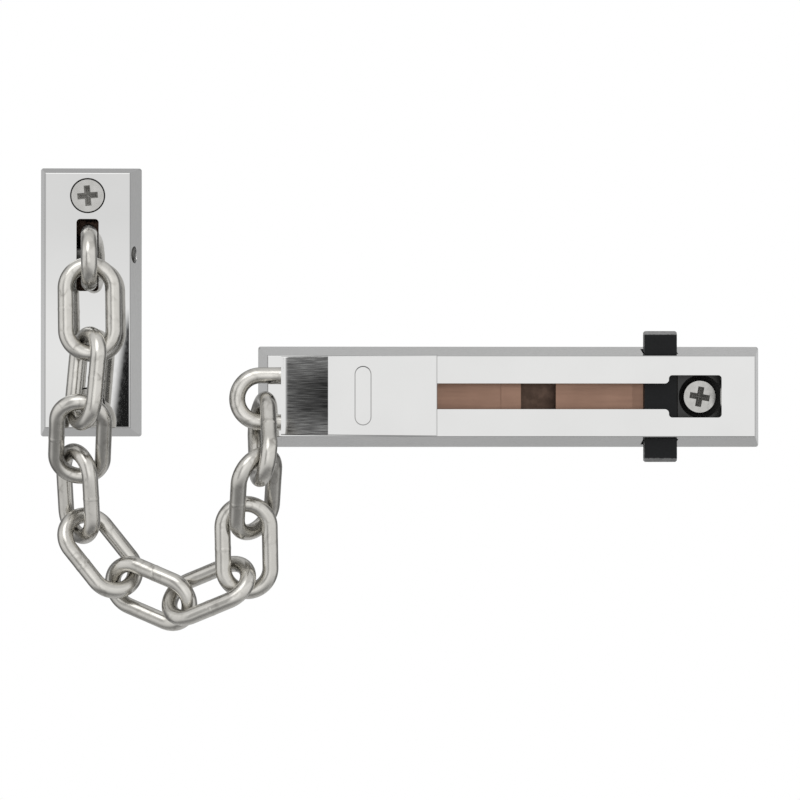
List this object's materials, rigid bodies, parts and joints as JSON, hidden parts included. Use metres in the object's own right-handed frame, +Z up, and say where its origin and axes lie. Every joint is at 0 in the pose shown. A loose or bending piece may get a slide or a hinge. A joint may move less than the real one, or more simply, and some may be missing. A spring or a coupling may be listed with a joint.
{
  "type": "door security chain",
  "caption": "Chromed door security chain: slotted rail with keyhole and sprung release catch, ramped slider, welded link chain and bevelled frame plate, with wood screws",
  "frame": {"origin": "on the door's surface, midway between the rail's two screws", "axes": "+X along the rail from the chain's end to the keyhole, +Y into the door along the screws, +Z up"},
  "size_m": [0.2147, 0.066, 0.137],
  "materials": {
    "chrome": "polished",
    "nickel": "satin nickel",
    "steel": "zinc plated",
    "bronze": "bronze tone",
    "black": "satin"
  },
  "bodies": {
    "base": {"rail_housing": "chrome", "rail_base": "bronze", "rail_screws": "steel", "backing_strip": "bronze", "catch_spring": "bronze", "frame_plate": "chrome", "frame_base": "bronze", "frame_screws": "steel", "anchor_pin": "steel"},
    "slider": {"slider_cover": "chrome", "slider_foot": "steel", "slider_post": "steel"},
    "catch": {"release_catch": "black"},
    "link_01": {"chain_link_01": "nickel"},
    "link_02": {"chain_link_02": "nickel"},
    "link_03": {"chain_link_03": "nickel"},
    "link_04": {"chain_link_04": "nickel"},
    "link_05": {"chain_link_05": "nickel"},
    "link_06": {"chain_link_06": "nickel"},
    "link_07": {"chain_link_07": "nickel"},
    "link_08": {"chain_link_08": "nickel"},
    "link_09": {"chain_link_09": "nickel"},
    "link_10": {"chain_link_10": "nickel"},
    "link_11": {"chain_link_11": "nickel"},
    "link_12": {"chain_link_12": "nickel"}
  },
  "joints": [
    {"name": "slider_slide", "type": "slide", "parent": "base", "child": "slider", "axis": [1, 0, 0], "range_m": [0, 0.0624]},
    {"name": "catch_press", "type": "slide", "parent": "base", "child": "catch", "axis": [0, 1, 0], "range_m": [0, 0.0035], "stiffness_N_per_m": 400, "springref_m": -0.004, "deforming": ["catch_spring"]},
    {"name": "link_12_turn", "type": "hinge", "parent": "slider", "child": "link_12", "pos_m": [-0.0603, -0.022, 0], "axis": [0, -1, 0], "range_deg": [-2, 3.22]},
    {"name": "link_11_turn", "type": "hinge", "parent": "link_12", "child": "link_11", "pos_m": [-0.07418, -0.02163, -0.0018], "axis": [0, -1, 0], "range_deg": [-44.32, 2]},
    {"name": "link_10_turn", "type": "hinge", "parent": "link_11", "child": "link_10", "pos_m": [-0.07372, -0.0323, -0.02123], "axis": [0, -1, 0], "range_deg": [-2, 20.35]},
    {"name": "link_09_turn", "type": "hinge", "parent": "link_10", "child": "link_09", "pos_m": [-0.07932, -0.02265, -0.03685], "axis": [0, -1, 0], "range_deg": [-17.78, 2]},
    {"name": "link_08_turn", "type": "hinge", "parent": "link_09", "child": "link_08", "pos_m": [-0.07962, -0.02183, -0.04961], "axis": [0, -1, 0], "range_deg": [-2, 37.74]},
    {"name": "link_07_turn", "type": "hinge", "parent": "link_08", "child": "link_07", "pos_m": [-0.09761, -0.01662, -0.05991], "axis": [0, -1, 0], "range_deg": [-2, 13.22]},
    {"name": "link_06_turn", "type": "hinge", "parent": "link_07", "child": "link_06", "pos_m": [-0.11388, -0.01089, -0.05326], "axis": [0, -1, 0], "range_deg": [-2, 6.15]},
    {"name": "link_05_turn", "type": "hinge", "parent": "link_06", "child": "link_05", "pos_m": [-0.12922, -0.00888, -0.03771], "axis": [0, -1, 0], "range_deg": [-2, 12.66]},
    {"name": "link_04_turn", "type": "hinge", "parent": "link_05", "child": "link_04", "pos_m": [-0.13096, -0.01451, -0.01735], "axis": [0, -1, 0], "range_deg": [-2, 19.52]},
    {"name": "link_03_turn", "type": "hinge", "parent": "link_04", "child": "link_03", "pos_m": [-0.12518, -0.02364, -0.00627], "axis": [0, -1, 0], "range_deg": [-16.39, 2]},
    {"name": "link_02_turn", "type": "hinge", "parent": "link_03", "child": "link_02", "pos_m": [-0.12385, -0.02387, 0.01858], "axis": [0, -1, 0], "range_deg": [-15.33, 2]},
    {"name": "link_01_lift", "type": "hinge", "parent": "base", "child": "link_01", "pos_m": [-0.12474, -0.0086, 0.04184], "axis": [-1, 0, 0], "range_deg": [-1, 7]}
  ],
  "couplings": [
    {"joint": "link_12_turn", "follows": "slider_slide", "rad_per_m": 0.34133},
    {"joint": "link_11_turn", "follows": "slider_slide", "rad_per_m": -11.836},
    {"joint": "link_10_turn", "follows": "slider_slide", "rad_per_m": 5.1317},
    {"joint": "link_09_turn", "follows": "slider_slide", "rad_per_m": -4.4134},
    {"joint": "link_08_turn", "follows": "slider_slide", "rad_per_m": 9.9954},
    {"joint": "link_07_turn", "follows": "slider_slide", "rad_per_m": 3.1382},
    {"joint": "link_06_turn", "follows": "slider_slide", "rad_per_m": 1.1609},
    {"joint": "link_05_turn", "follows": "slider_slide", "rad_per_m": 2.9819},
    {"joint": "link_04_turn", "follows": "slider_slide", "rad_per_m": 4.9012},
    {"joint": "link_03_turn", "follows": "slider_slide", "rad_per_m": -4.0248},
    {"joint": "link_02_turn", "follows": "slider_slide", "rad_per_m": -3.7285},
    {"joint": "link_01_lift", "follows": "slider_slide", "rad_per_m": 1.6782}
  ]
}
